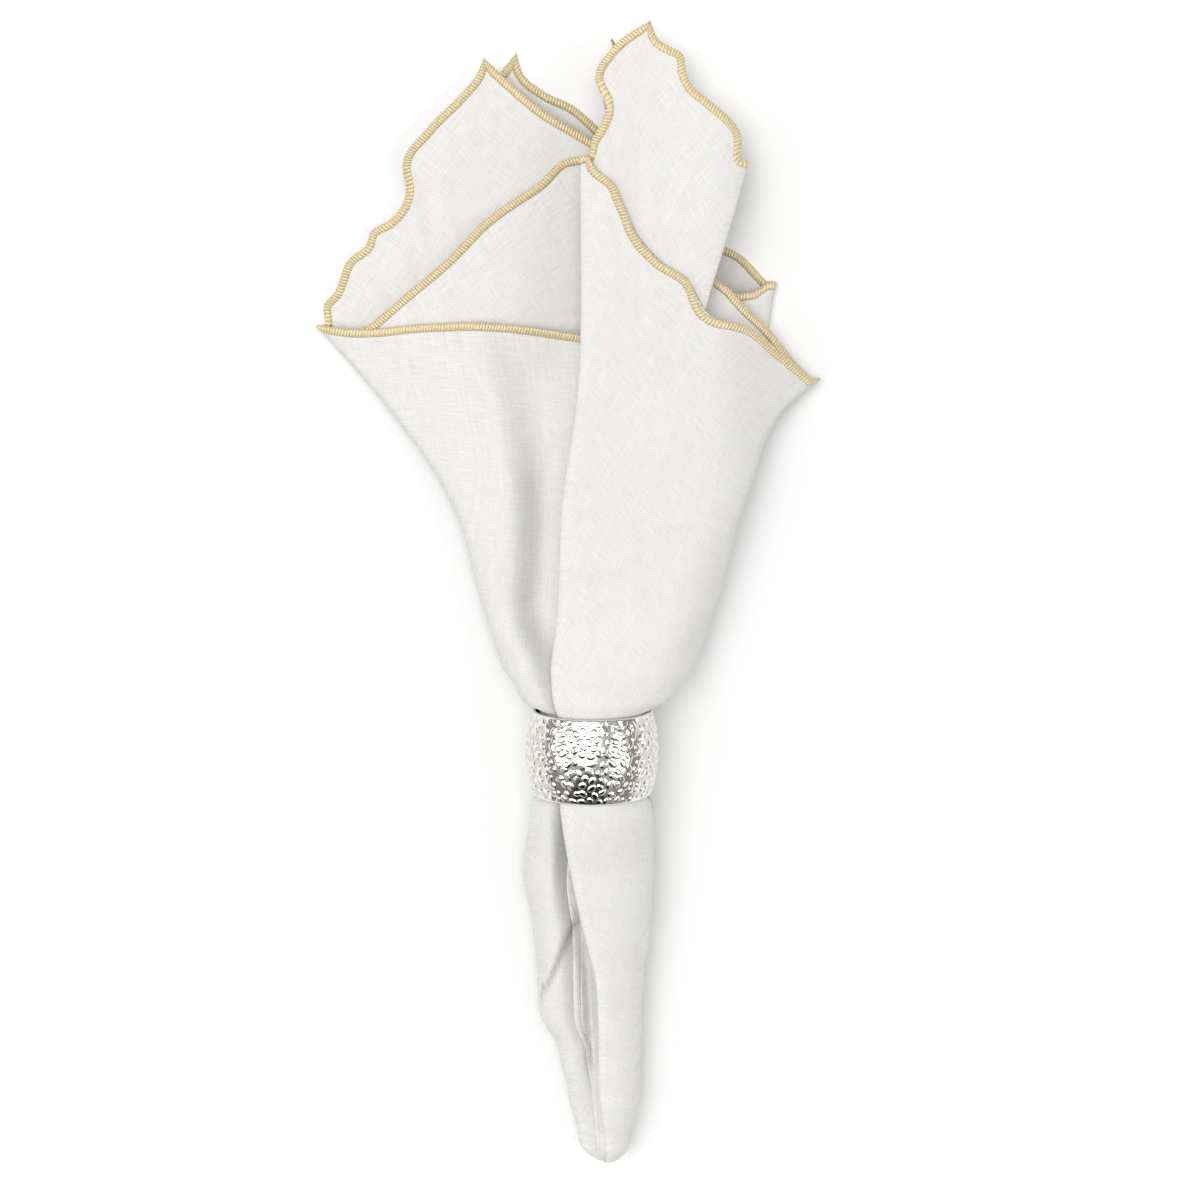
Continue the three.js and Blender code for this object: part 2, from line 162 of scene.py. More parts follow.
# Soft ridges on a layer that nothing covers there: each crest is given by places along and across. A
# ridge rises over twice RIDGE_START, half of it before its crest starts.
RIDGES = (
    {"layer": 6, "height": 5, "width": 6.5,
     "crest": ((49, -20), (65, -21), (84, -25), (106, -30), (140, -36))},
)
RIDGE_START = 12

# Hollows: from which layer down the cloth sinks, by what share, how wide at the two ends, how far it
# takes to fade in at its ends, and the middle line as places along and across.
HOLLOWS = (
    {"layer": 2, "depth": 0.42, "width": (5, 13), "fade": 24,
     "line": ((22, -11), (40, -15.5), (80, -15), (105, -16), (136, -22))},
    {"layer": 12, "depth": 0.3, "width": (4, 5), "fade": 12,
     "line": ((136, -52), (150, -53), (164, -55), (180, -58))},
    {"layer": 2, "depth": 0.28, "width": (1.8, 1.6), "fade": 14,
     "line": ((-112, 0.2), (-100, 0.2), (-85, -0.6), (-70, -1.6), (-54, -4.2))},
)

# The gap between the two lobes of the tail: from which layer down it sinks and by what share, how far it
# takes to fade in from its left, its right, its end and the tip, where it ends, and its left and right
# borders as places along and across.
GAP_LAYER = 2
GAP_DEPTH = 0.2
GAP_FADES = (1.4, 3, 5, 20)
GAP_END = -47
GAP_LEFT = np.array([(-134, -30), (-95, -26), (-82, -18), (-70, -12.8), (-60, -9), (-49, -3.6)])
GAP_RIGHT = np.array([(-134, 6), (-107, 4), (-85, 4), (-70, 3), (-58, 0), (-49, -3)])

# Waves of the cut edge that are seen, from the stop they start at: the share of the way to the next stop,
# and how far the edge stands off the straight line between them, to the left of the way.
EDGE_WAVES = {
    "left_corner": ((0, 0), (0.06, 0.8), (0.14, -0.4), (0.29, -3.8), (0.43, -4.2), (0.49, 0.4), (0.6, 0.6),
                    (0.66, -2.5), (0.71, -1.6), (0.77, -3.9), (0.9, -2.7), (0.95, -3.4), (1, 0)),
    "far_left": ((0, 0), (0.07, -0.6), (0.14, 0.1), (0.22, 1.8), (0.29, 2.7), (0.38, 3.6), (0.51, 2.9),
                 (0.64, 1.7), (0.8, 2), (1, 0)),
    "inner_turn": ((0, 0), (0.07, -4.1), (0.15, -7.5), (0.26, -6.2), (0.36, -6.4), (0.47, -6.2), (0.65, -3.2),
                   (0.84, -1.6), (1, 0)),
    "pleat_right": ((0, 0), (0.2, 1.2), (0.4, -0.8), (0.53, 0), (0.71, 1.6), (0.89, 0.9), (1, 0)),
    "ruffle_right": ((0, 0), (0.12, -0.5), (0.2, 2), (0.35, 0), (0.5, 1.5), (0.68, 0), (0.77, 0.3),
                     (0.865, 3.1), (0.95, 3.2), (1, 0)),
    "pocket_left": ((0, 0), (0.4, 1.5), (0.7, -1), (0.905, -1.5), (0.948, -2.8), (1, 0)),
    "right_corner": ((0, 0), (0.19, -5.4), (0.34, -7.7), (0.48, -8.4), (0.55, -7), (0.61, -3.2), (0.68, -1),
                     (0.79, -0.8), (0.93, -1.2), (1, 0)),
    "flap_left": ((0, 0), (0.03, -1), (0.12, -0.6), (0.16, -2.2), (0.21, -4.1), (0.25, -5.9), (0.37, -7.1),
                  (0.48, -5), (0.59, -8.4), (0.72, -2.2), (0.85, -1), (1, 0)),
    "panel_right": ((0, 0), (0.04, -1.5), (0.1, -3.9), (0.16, -4.7), (0.24, -4.3), (0.41, -1.8), (0.56, 0.1),
                    (0.63, -0.7), (0.715, -2.7), (0.8, -0.8), (0.86, 0.8), (1, 0)),
}

# The depth of a fold across: close, or wide where it joins layers that lie apart or one of the top
# layers.
CLOSE_ROOM = 1.5
WIDE_ROOM = 2.6
TOP_LAYERS = 2

# Fineness of the mesh: spacing round the cut edge where it shows and where it doesn't, the least steps
# from a stop to the next, columns in a fold, where the mouth's rows end and the fan's begin, and rows in
# the tip's dome, the tail, the ring, the mouth and the fan.
SHOWN_STEP = 1.7
HIDDEN_STEP = 4.5
LEAST_STEPS = 4
FOLD_COLUMNS = 7
FAN_Y = 46
ROWS_IN_DOME = 9
ROWS_TO_RING = 44
ROWS_IN_RING = 6
ROWS_IN_MOUTH = 14
ROWS_IN_FAN = 52

# Hammer marks: their spacing round the ring, the spacing of their rows as a share of it, how far they
# stray as a share of it, their long and short radii, how far they turn, where their flat top ends and
# their slope ends in those radii, the depth of the grooves between them, and how far from the rims they
# fade.
PEBBLE_SIZE = 3.0
PEBBLE_ROW = 0.8
PEBBLE_STRAY = 0.26
PEBBLE_LONG = (1.15, 1.7)
PEBBLE_SHORT = (0.75, 1.1)
PEBBLE_TURN = 1.1
PEBBLE_FLAT = 0.62
PEBBLE_EDGE = 1.05
PEBBLE_DEPTH = 0.26
PEBBLE_FADE = 2
PEBBLE_SEED = 7

# The ring's mesh: columns round it, rows outside, on a rim and inside, and the rows whose marks are
# worked out together.
RING_COLUMNS = 600
RING_ROWS = 116
RIM_ROWS = 5
INNER_ROWS = 12
ROWS_TOGETHER = 8

# Colours, as light reflected.
LINEN_LIGHT = (0.69, 0.684, 0.666)
LINEN_DARK = (0.592, 0.584, 0.563)
# The gold's light and dark are partly its uneven tone and partly painted highlight and shade on the stitches.
GOLD_LIGHT = (0.88, 0.77, 0.52)
GOLD_DARK = (0.58, 0.45, 0.22)
SILVER_LIGHT = (0.85, 0.835, 0.79)
# The darker silver is shade painted into the grooves between hammer marks.
SILVER_PAINTED_SHADE = (0.5, 0.49, 0.46)
PAPER = (0.77, 0.77, 0.77)
PAPER_LIGHT = (0.78, 0.78, 0.78)
PAPER_DARK = (0.76, 0.76, 0.76)

# The linen: the pitch of its threads; how fine its slubs are across and along a thread, its grain and its
# clouds, each as noise for a millimetre; what sets the slubs of the weft apart; and how much each of them
# tells in the shade and in the relief.
THREAD_PITCH = 0.6
SLUB_NOISE = (2.4, 0.11)
GRAIN_NOISE = 2.6
CLOUD_NOISE = 0.02
WEFT_OFFSET = 7.0
LINEN_SHADE = {"slubs": 1.5, "grain": 0.7, "weave": 0.12, "clouds": 0.3}
LINEN_RELIEF = {"slubs": 1.2, "grain": 0.6, "weave": 0.25}

# The gold thread: the pitch and slant of its stitches, its spots as noise for a millimetre, and how much
# both tell in the colour and in the relief. In the colour the ribs are painted highlight on each stitch and
# painted shade between stitches; the spots are the thread's own uneven tone.
STITCH_PITCH = 0.9
STITCH_SLANT = 0.25
SPOT_NOISE = 1.1
GOLD_TONE_AND_PAINTED_LIGHT = {"ribs": 0.75, "spots": 1.2}
GOLD_RELIEF = {"ribs": 1.0, "spots": 0.5}

# The silver: smudges and scratches, and the paper's mottles, as noise for a metre; how much painted shade
# darkens a groove; and the roughness of plain silver, of smudges and of grooves.
SMUDGE_NOISE = 90.0
SCRATCH_NOISE = 700.0
MOTTLE_NOISE = 4.0
GROOVE_PAINTED_SHADE = 0.6
PLAIN_ROUGHNESS = 0.04
SILVER_ROUGHNESS = {"grooves": 0.1, "smudges": 0.06}

# Relief of the surfaces: strength, and depth in metres.
LINEN_BUMP = (0.4, 0.0004)
GOLD_BUMP = (0.6, 0.0005)
SILVER_BUMP = (0.08, 0.0002)

# The camera: its target, its distance, its tip from straight down, the width it sees there, its sensor,
# and the nearest that it sees in metres. The floor reaches so far that its end isn't seen from low down.
CAMERA_TARGET = (2.4, 46.8, 20)
CAMERA_DISTANCE = 900
CAMERA_TIP = 9.4
FRAME_WIDTH = 366
SENSOR_WIDTH = 36
NEAREST_SEEN = 0.01
FLOOR_HALF = 60000

# The room that the ring reflects: its strength; its greys by the height of the way, 0 at the horizon and
# 1 straight up; and a dark spot, with the way to its middle, its reach along x, y and z, where its dark
# part ends and where the whole spot ends, in that reach, and its colour.
ROOM_LIGHT = 0.54
ROOM_BAND = (
    (0.0, (0.9, 0.9, 0.9, 1)),
    (0.22, (0.58, 0.57, 0.53, 1)),
    (0.5, (0.5, 0.49, 0.45, 1)),
    (0.68, (1, 1, 1, 1)),
    (1.0, (1, 1, 1, 1)),
)
DARK_WAY = (-0.1, -0.66, 0.74)
DARK_REACH = (0.5, 0.3, 0.6)
DARK_EDGE = (0.85, 1.1)
DARK_COLOUR = (0.03, 0.03, 0.035)

# Lamps as far away as the sun: name, the place that each shines from towards LAMP_TARGET, how wide it
# looks in degrees, and power.
LAMP_TARGET = (0, 50, 10)
LAMPS = (
    ("lamp_over", (-160, 250, 1100), 45, 2.36),
    ("lamp_left", (-900, 50, 700), 34, 0.72),
    ("lamp_right", (900, -50, 800), 34, 0.7),
)


def mix(a, b, t):
    """Straight mix of a and b: a plus t times their difference."""
    return a + (b - a) * t


def ease(t):
    """Smooth step: 3t squared less 2t cubed, for t held between 0 and 1."""
    t = np.clip(t, 0, 1)
    return t * t * (3 - 2 * t)


def curve(places, values, at):
    """Smooth curve through points: on each stretch a cubic whose end slopes are the mean slopes there."""
    places, values = np.asarray(places, float), np.asarray(values, float)
    slopes = np.gradient(values, places) if len(places) > 2 else np.full(2, np.ptp(values) / np.ptp(places))
    i = np.clip(np.searchsorted(places, at) - 1, 0, len(places) - 2)
    span = places[i + 1] - places[i]
    t = np.clip((at - places[i]) / span, 0, 1)
    start = values[i] * (1 + 2 * t) * (1 - t) ** 2 + slopes[i] * span * t * (1 - t) ** 2
    end = values[i + 1] * t * t * (3 - 2 * t) + slopes[i + 1] * span * t * t * (t - 1)
    return start + end


def section(y, name):
    """One column of the sections at a place y along the bundle: eased between the rows."""
    places, values = SECTIONS["y"], SECTIONS[name]
    i = np.clip(np.searchsorted(places, y) - 1, 0, len(places) - 2)
    return mix(values[i], values[i + 1], ease((y - places[i]) / (places[i + 1] - places[i])))


def bundle_x(share, y):
    """Place across at a share of the bundle: its middle plus the share times its half width."""
    return section(y, "middle") + share * section(y, "half")


def stop_x(stop, y):
    """How far across a stop lies at a place y: its share of the round bundle, then its own fan line."""
    y = np.asarray(y, float)
    if stop["name"] == "flap_left":
        bundle, start = curve(*TAIL_CONTOUR.T, y), TAIL_CONTOUR[-1][1]
    else:
        bundle, start = bundle_x(stop["share"], y), float(bundle_x(stop["share"], FLARE_Y))
    end = stop["y"] - LEVEL_MARGIN
    levels = [(level, stop[name]) for name, level in FAN_LEVELS.items() if level < end]
    points = [(FLARE_Y, start), *levels, (stop["y"], stop["x"])]
    return np.where(y <= FLARE_Y, bundle, curve(*zip(*points), y))


def layer_between(a, b):
    """The layer that two neighbouring stops share."""
    if a["side"] == 0:
        return a["front"]
    if b["side"] == 0:
        return b["front"]
    return ({a["front"], a["back"]} & {b["front"], b["back"]}).pop()


def layer_bounds():
    """Each layer's left fold, right fold and cut edge, gathered from the stops that name it."""
    layers = [{"edge": []} for _ in range(LAYER_COUNT)]
    for stop in STOPS:
        for index in sorted({stop["front"], stop["back"]}):
            layers[index]["edge"].append((stop["x"], stop["y"]))
            if stop["side"] != 0:
                layers[index]["left" if stop["side"] < 0 else "right"] = stop
    for layer in layers:
        layer["edge"] = np.array(sorted(layer["edge"]), float).T
    return layers


LAYERS = layer_bounds()


def fall(inside, spread):
    """1 inside an edge, and outside it e to the minus square of the distance over the spread."""
    return np.where(inside >= 0, 1.0, np.exp(-((np.minimum(inside, 0) / spread) ** 2)))


def presence(layer, x, y):
    """How much a layer lifts what lies over x, y: the falls from its folds and cut edge, multiplied."""
    spread = section(y, "spread")
    left = fall(x - stop_x(layer["left"], np.minimum(y, layer["left"]["y"])), spread)
    right = fall(stop_x(layer["right"], np.minimum(y, layer["right"]["y"])) - x, spread)
    return left * right * fall(np.interp(x, *layer["edge"]) - y, CUT_EDGE_FELT)


def ridge_height(index, x, y):
    """Height of a layer's soft ridges over x, y: a bell curve across each crest."""
    height = np.zeros_like(x)
    for ridge in RIDGES:
        crest = np.array(ridge["crest"], float).T
        rise = ease((y - crest[0][0] + RIDGE_START) / (2 * RIDGE_START))
        bell = np.exp(-(((x - curve(*crest, y)) / ridge["width"]) ** 2))
        height += np.where(index == ridge["layer"], ridge["height"] * rise * bell, 0)
    return height


def layer_heights(x, y):
    """Heights of all layers over x, y: the layers under each one stacked, squeezed to the round bundle."""
    even = np.clip(1 - (y - TIP_Y) / TIP_EVEN_LENGTH, 0, 1)
    felt = np.stack([mix(presence(layer, x, y), 1, even) for layer in LAYERS])
    under = np.cumsum(felt[::-1], axis=0)[::-1] - felt
    flat = CLOTH_HALF + LAYER_PITCH * under
    across = np.clip((x - section(y, "middle")) / section(y, "half"), -1, 1)
    bow = section(y, "rise") * np.sqrt(1 - (BUNDLE_BOW * across) ** 2)
    bottom = np.maximum(CLOTH_HALF, section(y, "core") - bow)
    top = section(y, "core") + bow
    squeezed = bottom + (top - bottom) * under / np.maximum(under[0], 1)
    return sink(mix(flat, squeezed, section(y, "round")), x, y)


def sink(heights, x, y):
    """Sinks the hollows and the tail's gap: heights times one less a share.

    The share follows a bell curve across a hollow's line, and in the gap it eases from border to border.
    """
    order = np.arange(LAYER_COUNT)[:, None, None]
    for hollow in HOLLOWS:
        line = np.array(hollow["line"], float).T
        reach = (y - line[0][0]) / (line[0][-1] - line[0][0])
        fade = ease((y - line[0][0]) / hollow["fade"]) * ease((line[0][-1] - y) / hollow["fade"])
        bell = np.exp(-(((x - curve(*line, y)) / mix(*hollow["width"], np.clip(reach, 0, 1))) ** 2))
        heights = heights * np.where(order >= hollow["layer"], 1 - hollow["depth"] * bell * fade, 1)
    left, right = curve(*GAP_LEFT.T, y), curve(*GAP_RIGHT.T, y)
    gap = 1.0
    for inside, fade in zip((x - left, right - x, GAP_END - y, y - TIP_Y), GAP_FADES):
        gap = gap * ease(inside / fade)
    return heights * np.where(order >= GAP_LAYER, 1 - GAP_DEPTH * gap, 1)


def room_in(stop):
    """How far across the cloth beside a stop stands in from the stop's own line."""
    if stop["side"] == 0:
        return 0.0
    wide = stop["back"] - stop["front"] > 1 or stop["front"] < TOP_LAYERS
    return -stop["side"] * (WIDE_ROOM if wide else CLOSE_ROOM)


def fold_columns(stop, before):
    """Columns of a fold: points on a half turn from one of its layers to the other."""
    outward = 1 if stop["front"] % 2 == 0 else -1
    turns = np.linspace(math.pi / 2, -math.pi / 2, FOLD_COLUMNS + 2)[1:-1]
    if layer_between(before, stop) != stop["front"]:
        turns = turns[::-1]
    return [{
        "start": stop, "end": stop, "share": 0.0, "front": stop["front"], "back": stop["back"],
        "shift": room_in(stop) * (1 - math.cos(turn)), "turn": math.sin(turn),
        "push": (stop["side"] * outward * math.cos(turn), outward * math.sin(turn)),
    } for turn in turns]


def panel_columns(stop, following):
    """Columns of the cloth between two stops, spaced evenly."""
    layer = layer_between(stop, following)
    step = SHOWN_STEP if stop["shown"] else HIDDEN_STEP
    way = math.hypot(following["x"] - stop["x"], following["y"] - stop["y"])
    count = max(LEAST_STEPS, round(way / step))
    last = count if following["side"] else count - 1
    return [{
        "start": stop, "end": following, "share": k / count, "front": layer, "back": layer,
        "shift": mix(room_in(stop), room_in(following), k / count), "turn": 0.0,
        "push": (0.0, 1.0 if layer % 2 == 0 else -1.0),
    } for k in range(last + 1)]


def all_columns():
    """Every column in order round the cut edge."""
    columns = []
    for i, stop in enumerate(STOPS):
        following = STOPS[(i + 1) % len(STOPS)]
        if stop["side"]:
            columns += fold_columns(stop, STOPS[i - 1])
        columns += panel_columns(stop, following)
    return columns


COLUMNS = all_columns()
SHARE = np.array([column["share"] for column in COLUMNS])
SHIFT = np.array([column["shift"] for column in COLUMNS])
FRONT, BACK = (np.array([column[key] for column in COLUMNS]) for key in ("front", "back"))
TURN = np.array([column["turn"] for column in COLUMNS])
PUSH = np.array([column["push"] for column in COLUMNS])
START, END = (np.array([STOPS.index(column[key]) for column in COLUMNS]) for key in ("start", "end"))


def plan():
    """Plan of the cloth, across and along: straight between the stops' lines, row by row.

    As far as FAN_Y all columns share a row's place along the bundle. Beyond it a row lies at one share of the
    way from FAN_Y to the cut edge.
    """
    low = np.concatenate([
        TIP_Y + TIP_DOME * (1 - np.cos(np.linspace(0, math.pi / 2, ROWS_IN_DOME, endpoint=False))),
        np.linspace(TIP_Y + TIP_DOME, -MOUTH_Y, ROWS_TO_RING, endpoint=False),
        np.linspace(-MOUTH_Y, MOUTH_Y, ROWS_IN_RING, endpoint=False),
        np.linspace(MOUTH_Y, FAN_Y, ROWS_IN_MOUTH, endpoint=False),
    ])
    share = np.linspace(0, 1, ROWS_IN_FAN)
    tops = np.array([stop["y"] for stop in STOPS], float)[:, None]
    places = np.concatenate([np.broadcast_to(low, (len(STOPS), len(low))), mix(FAN_Y, tops, share)], axis=1)
    lines = np.stack([stop_x(stop, row) for stop, row in zip(STOPS, places)])
    y = mix(places[START], places[END], SHARE[:, None]).T
    room = np.minimum(1, section(y, "half") / BUNDLE_RADIUS)
    x = mix(lines[START], lines[END], SHARE[:, None]).T + SHIFT * room
    toward_edge = np.concatenate([np.zeros(len(low)), share])
    return x, y, toward_edge


def edge_run(x, y):
    """Distance run along the cut edge up to each column."""
    steps = np.hypot(np.diff(x, append=x[:1]), np.diff(y, append=y[:1]))
    return np.concatenate([[0], np.cumsum(steps)[:-1]])


def wave_edge(x, y, toward_edge):
    """Waves of the cut edge: its own seen waves, or sines of the distance run, fading away from the edge."""
    run = edge_run(x[-1], y[-1])
    sines = (share * np.sin(2 * np.pi * run / length) for share, length in zip(WAVE_SHARES, WAVE_LENGTHS))
    off = np.zeros((2, len(run)))
    off[1] = WAVE_HEIGHT * sum(sines)
    for name, wave in EDGE_WAVES.items():
        first = STOP_NAMES.index(name)
        last = (first + 1) % len(STOPS)
        start, end = (np.array([STOPS[k]["x"], STOPS[k]["y"]], float) for k in (first, last))
        way = (end - start) / np.hypot(*(end - start))
        stretch = (START == first) & (END == last)
        off[:, stretch] = np.array([-way[1], way[0]])[:, None] * curve(*zip(*wave), SHARE[stretch])
        off[:, (START == first) & (END == first)] = 0
    fade = (toward_edge ** EDGE_WAVE_FADE)[:, None]
    return x + off[0] * fade, y + off[1] * fade, run


def on_layers(heights, layers):
    """Of the heights of all layers, those of each column's own layer."""
    return np.take_along_axis(heights, np.broadcast_to(layers, heights.shape[1:])[None], axis=0)[0]


def lift(x, y):
    """Height of the cloth at plan points: on its layer, or on the half turn between a fold's two."""
    heights = layer_heights(x, y)
    front, back = on_layers(heights, FRONT) + ridge_height(FRONT, x, y), on_layers(heights, BACK)
    return (front + back) / 2 + TURN * (front - back) / 2


def flat_places(x, y):
    """Place of each point on the napkin before it was folded, in millimetres from its middle.

    Each column is a straight line from the middle to its own point of the square's edge.
    """
    run = edge_run(x[-1], y[-1])
    turns = [k for k, name in enumerate(STOP_NAMES) if name in CORNERS]
    corners = run[[np.flatnonzero((START == k) & (SHARE == 0))[0] for k in turns]]
    total = run[-1] + math.hypot(x[-1, 0] - x[-1, -1], y[-1, 0] - y[-1, -1])
    past = np.where(run < corners[0], run + total, run)
    half = NAPKIN_SIDE / 2
    square = np.array([(-half, -half), (half, -half), (half, half), (-half, half), (-half, -half)])
    numbers = np.arange(len(square))
    side = np.interp(past, [*corners, corners[0] + total], numbers)
    edge = np.stack([np.interp(side, numbers, place) for place in square.T], axis=-1)
    steps = np.hypot(np.diff(x, axis=0), np.diff(y, axis=0))
    reach = np.concatenate([np.zeros((1, x.shape[1])), np.cumsum(steps, axis=0)])
    return edge[None] * (reach / reach[-1])[..., None]


def grid_faces(rows, columns, closed=False):
    """Corner numbers of a grid's quads. Each row is a loop, and if closed the last row joins the first."""
    low = np.arange(rows if closed else rows - 1)[:, None] * columns
    i = np.arange(columns)[None]
    j = (i + 1) % columns
    quads = np.stack([low + i, low + j, low + columns + j, low + columns + i], axis=-1)
    return quads.reshape(-1, 4) % (rows * columns)


def add_object(name, data):
    """Puts a mesh, a lamp or a camera into the scene as an object."""
    thing = bpy.data.objects.new(name, data)
    bpy.context.scene.collection.objects.link(thing)
    return thing


def mesh_object(name, points, quads):
    """A mesh object from points in millimetres and quads."""
    mesh = bpy.data.meshes.new(name)
    mesh.from_pydata((points.reshape(-1, 3) * MM).tolist(), [], quads.tolist())
    mesh.polygons.foreach_set("use_smooth", np.ones(len(mesh.polygons), bool))
    mesh.update()
    return add_object(name, mesh)


def store(piece, name, values):
    """Stores a vector or a number for each point of a piece, from the rows of its grid."""
    kind, field = ("FLOAT_VECTOR", "vector") if values.ndim == 3 else ("FLOAT", "value")
    attribute = piece.data.attributes.new(name, kind, "POINT")
    attribute.data.foreach_set(field, np.ascontiguousarray(values, dtype=np.float32).ravel())


def round_tip(points):
    """Closes the tip: each outline near it shrinks about its middle as the outline of half an egg does."""
    beyond = np.clip((TIP_Y + TIP_DOME - points[..., 1]) / TIP_DOME, 0, 1)
    size = np.sqrt(1 - beyond ** 2)[..., None]
    middle = np.array([section(TIP_Y, "middle"), 0, section(TIP_Y, "core")])
    shrunk = middle + (points - middle) * np.maximum(size, TIP_LEAST)
    shrunk[..., 1] = points[..., 1]
    return shrunk


def make_napkin():
    """The cloth: one thin sheet on its folds."""
    x, y, toward_edge = plan()
    flat = flat_places(x, y)
    x, y, _ = wave_edge(x, y, toward_edge)
    points = round_tip(np.stack([x, y, lift(x, y)], axis=-1))
    piece = mesh_object("napkin_cloth", points, grid_faces(*x.shape))
    store(piece, "flat", np.concatenate([flat, np.zeros((*x.shape, 1))], axis=-1))
    return piece


def inward_way(x, y):
    """Way inward from the cut edge at each column: square to the edge on a panel, down its column at a fold.

    Its length is 1 on a straight edge, and less round a sharp corner, as both sides' ways are averaged.
    """
    column = np.stack([x[-3] - x[-1], y[-3] - y[-1]])
    column = column / np.maximum(np.hypot(*column), TINY)
    ahead = np.stack([np.roll(v[-1], -1) - np.roll(v[-1], 1) for v in (x, y)])
    ahead = ahead / np.maximum(np.hypot(*ahead), TINY)
    square = np.stack([ahead[1], -ahead[0]]) * np.where(FRONT % 2 == 0, 1, -1)
    way = np.where(FRONT == BACK, square, column)
    for _ in range(EDGE_SMOOTHINGS):
        way = (np.roll(way, 1, axis=1) + 2 * way + np.roll(way, -1, axis=1)) / 4
    return way


def make_gold_edge():
    """The overlocked border: an oval band that follows the cut edge."""
    x, y, run = wave_edge(*plan())
    way = inward_way(x, y)
    turns = np.linspace(0, 2 * np.pi, EDGE_POINTS, endpoint=False)[:, None]
    inset = EDGE_WIDTH / 2 * (1 - np.cos(turns))
    out = np.sin(turns) * EDGE_THICKNESS / 2
    across, along = x[-1] + way[0] * inset, y[-1] + way[1] * inset
    height = np.maximum(lift(across, along) + out * PUSH[:, 1], EDGE_CLEARANCE)
    points = np.stack([across + out * PUSH[:, 0], along, height], axis=-1)
    piece = mesh_object("overlock_edge", points, grid_faces(*across.shape, closed=True))
    store(piece, "flat", np.stack(np.broadcast_arrays(run, inset, 0.0), axis=-1))
    return piece


def hammer_marks():
    """The hammer marks: their middles round and along the ring, their long and short radii, and their turns.

    They lie in rows round the ring, every other row half a mark on, and each strays from its place.
    """
    generator = np.random.default_rng(PEBBLE_SEED)
    columns = round(RING_AROUND / PEBBLE_SIZE)
    rows = round(2 * RING_HALF_LENGTH / (PEBBLE_SIZE * PEBBLE_ROW))
    i, j = np.meshgrid(np.arange(columns), np.arange(-1, rows + 1), indexing="ij")
    stray = generator.uniform(-PEBBLE_STRAY, PEBBLE_STRAY, (2, *i.shape)) * PEBBLE_SIZE
    middle_u = ((i + 0.5 * (j % 2)) * RING_AROUND / columns + stray[0]).ravel()
    middle_v = ((j + 0.5) * 2 * RING_HALF_LENGTH / rows - RING_HALF_LENGTH + stray[1]).ravel()
    long_radius = generator.uniform(*PEBBLE_LONG, middle_u.shape)
    short_radius = generator.uniform(*PEBBLE_SHORT, middle_u.shape)
    turn = generator.uniform(-PEBBLE_TURN, PEBBLE_TURN, middle_u.shape)
    return middle_u, middle_v, long_radius, short_radius, turn


def hammered(marks, angle, along):
    """Hammered relief of the ring: 1 on the flat top of a mark, easing to 0 at the end of its slope.

    The distance to a mark's middle is measured in its own long and short radii, turned by its own angle.
    """
    middle_u, middle_v, long_radius, short_radius, turn = marks
    u = (angle[..., None] * RING_OUTER - middle_u + RING_AROUND / 2) % RING_AROUND - RING_AROUND / 2
    v = along[..., None] - middle_v
    long_way = (u * np.cos(turn) + v * np.sin(turn)) / long_radius
    short_way = (v * np.cos(turn) - u * np.sin(turn)) / short_radius
    nearest = np.min(np.hypot(long_way, short_way), axis=-1)
    return ease((PEBBLE_EDGE - nearest) / (PEBBLE_EDGE - PEBBLE_FLAT))


def barrel(along):
    """Outer radius of the ring: it falls from the middle to the rims by a parabola."""
    return RING_OUTER - (RING_OUTER - RING_RIM) * (along / RING_HALF_LENGTH) ** 2


def make_ring():
    """The ring: a barrel wall with hammer marks outside, rolled rims and a plain inside."""
    angle = np.linspace(0, 2 * np.pi, RING_COLUMNS, endpoint=False)
    rim = RING_HALF_LENGTH - RING_WALL / 2
    angles, outer_y = np.meshgrid(angle, np.linspace(-1, 1, RING_ROWS) * rim)
    marks = hammer_marks()
    together = (slice(k, k + ROWS_TOGETHER) for k in range(0, RING_ROWS, ROWS_TOGETHER))
    relief = np.concatenate([hammered(marks, angles[rows], outer_y[rows]) for rows in together])
    fade = ease((RING_HALF_LENGTH - np.abs(outer_y)) / PEBBLE_FADE)
    outer = barrel(outer_y) - PEBBLE_DEPTH * (1 - relief) * fade
    turn = np.linspace(np.pi / 2, -np.pi / 2, RIM_ROWS + 2)[1:-1, None]
    rim_y = rim + np.cos(turn) * RING_WALL / 2 + 0 * angle
    rim_radius = barrel(rim) - RING_WALL / 2 + np.sin(turn) * RING_WALL / 2 + 0 * angle
    inner_y = np.linspace(rim, -rim, INNER_ROWS)[:, None] + 0 * angle
    radius = np.concatenate([outer, rim_radius, barrel(inner_y) - RING_WALL, rim_radius[::-1]])
    along = np.concatenate([outer_y, rim_y, inner_y, -rim_y[::-1]])
    x, z = radius * np.cos(angle), RING_AXIS_Z + radius * np.sin(angle)
    points = np.stack([x, along, np.maximum(z, 0)], axis=-1)
    piece = mesh_object("hammered_ring", points, grid_faces(*radius.shape, closed=True)[:, ::-1])
    # The groove mask dulls the silver and darkens its colour with painted shade between the hammer marks.
    groove = np.zeros_like(radius)
    groove[:RING_ROWS] = 1 - relief
    store(piece, "groove", groove)
    return piece


class Wire:
    """A shader socket that can be used in sums; each sum adds a Math node."""

    def __init__(self, tree, socket):
        self.tree, self.socket = tree, socket

    def maths(self, operation, *values):
        """A Math node on this socket and other values."""
        return self.tree.add("ShaderNodeMath", {"operation": operation}, dict(enumerate((self, *values))))

    def __add__(self, other):
        return self.maths("ADD", other)

    def __sub__(self, other):
        return self.maths("SUBTRACT", other)

    def __mul__(self, other):
        return self.maths("MULTIPLY", other)

    def sine(self):
        """Sine of this value."""
        return self.maths("SINE")


